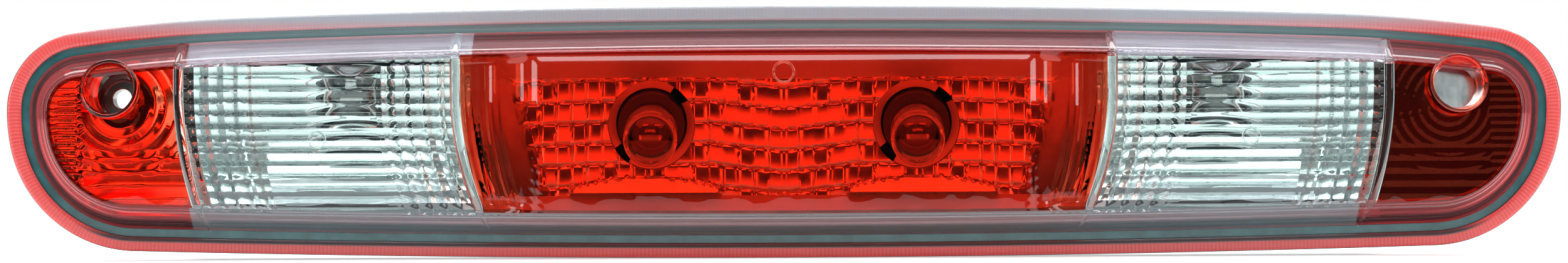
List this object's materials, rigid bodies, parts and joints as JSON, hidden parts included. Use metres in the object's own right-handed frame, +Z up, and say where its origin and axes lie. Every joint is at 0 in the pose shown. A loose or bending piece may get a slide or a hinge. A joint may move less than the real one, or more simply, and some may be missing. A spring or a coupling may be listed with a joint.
{
  "type": "third brake light",
  "caption": "Long roof-mounted third brake light with a red centre lens, clear cargo-lamp windows, metallised reflectors, twist-lock bulb sockets and screw wells at both ends.",
  "frame": {"origin": "centre of the face that seats on the vehicle roof panel, in the middle of the lamp", "axes": "+X along the lamp to the vehicle right, +Y forwards into the vehicle, +Z up; the lens faces -Y"},
  "size_m": [0.5072, 0.0859, 0.0823],
  "materials": {
    "red_lens": "glossy moulded, translucent red",
    "clear_lens": "glossy moulded, clear",
    "seal_bead": "cured adhesive",
    "foam_gasket": "closed-cell foam",
    "housing_black": "fine moulded texture",
    "metallised_reflector": "bright vacuum-metallised",
    "plated_steel": "zinc plated",
    "vent_plastic": "satin",
    "socket_plastic": "satin moulded",
    "socket_rubber": "moulded silicone",
    "contact_brass": "tinned and stamped",
    "bulb_glass": "clear blown glass",
    "filament_wire": "drawn tungsten"
  },
  "bodies": {
    "lamp_body": {"lens_red": "red_lens", "lens_end_left": "red_lens", "screw_well_left": "red_lens", "lens_end_right": "red_lens", "screw_well_right": "red_lens", "lens_clear_left": "clear_lens", "lens_clear_right": "clear_lens", "lens_seal": "seal_bead", "mounting_gasket": "foam_gasket", "housing": "housing_black", "collar_stop_left": "housing_black", "collar_cargo_left": "housing_black", "collar_stop_right": "housing_black", "collar_cargo_right": "housing_black", "end_reflector_left": "metallised_reflector", "end_reflector_right": "metallised_reflector", "stop_reflector": "metallised_reflector", "cargo_reflector_left": "metallised_reflector", "cargo_reflector_right": "metallised_reflector", "screw_bush_left": "plated_steel", "screw_bush_right": "plated_steel", "vent_left": "vent_plastic", "vent_right": "vent_plastic"},
    "stop_left_lamp": {"stop_left_socket": "socket_plastic", "stop_left_seal": "socket_rubber", "stop_left_contacts": "contact_brass", "stop_left_bulb": "bulb_glass", "stop_left_filament": "filament_wire"},
    "cargo_left_lamp": {"cargo_left_socket": "socket_plastic", "cargo_left_seal": "socket_rubber", "cargo_left_contacts": "contact_brass", "cargo_left_bulb": "bulb_glass", "cargo_left_filament": "filament_wire"},
    "stop_right_lamp": {"stop_right_socket": "socket_plastic", "stop_right_seal": "socket_rubber", "stop_right_contacts": "contact_brass", "stop_right_bulb": "bulb_glass", "stop_right_filament": "filament_wire"},
    "cargo_right_lamp": {"cargo_right_socket": "socket_plastic", "cargo_right_seal": "socket_rubber", "cargo_right_contacts": "contact_brass", "cargo_right_bulb": "bulb_glass", "cargo_right_filament": "filament_wire"}
  },
  "joints": [
    {"name": "stop_left_twist", "type": "hinge", "parent": "lamp_body", "child": "stop_left_lamp", "pos_m": [-0.0436, 0.01528, 0.00421], "axis": [0, 0.9703, 0.2419], "range_deg": [0, 45]},
    {"name": "cargo_left_twist", "type": "hinge", "parent": "lamp_body", "child": "cargo_left_lamp", "pos_m": [-0.141, 0.0155, 0.0128], "axis": [0, 1, 0], "range_deg": [0, 45]},
    {"name": "stop_right_twist", "type": "hinge", "parent": "lamp_body", "child": "stop_right_lamp", "pos_m": [0.0436, 0.01528, 0.00421], "axis": [0, 0.9703, 0.2419], "range_deg": [0, 45]},
    {"name": "cargo_right_twist", "type": "hinge", "parent": "lamp_body", "child": "cargo_right_lamp", "pos_m": [0.141, 0.0155, 0.0128], "axis": [0, 1, 0], "range_deg": [0, 45]}
  ]
}
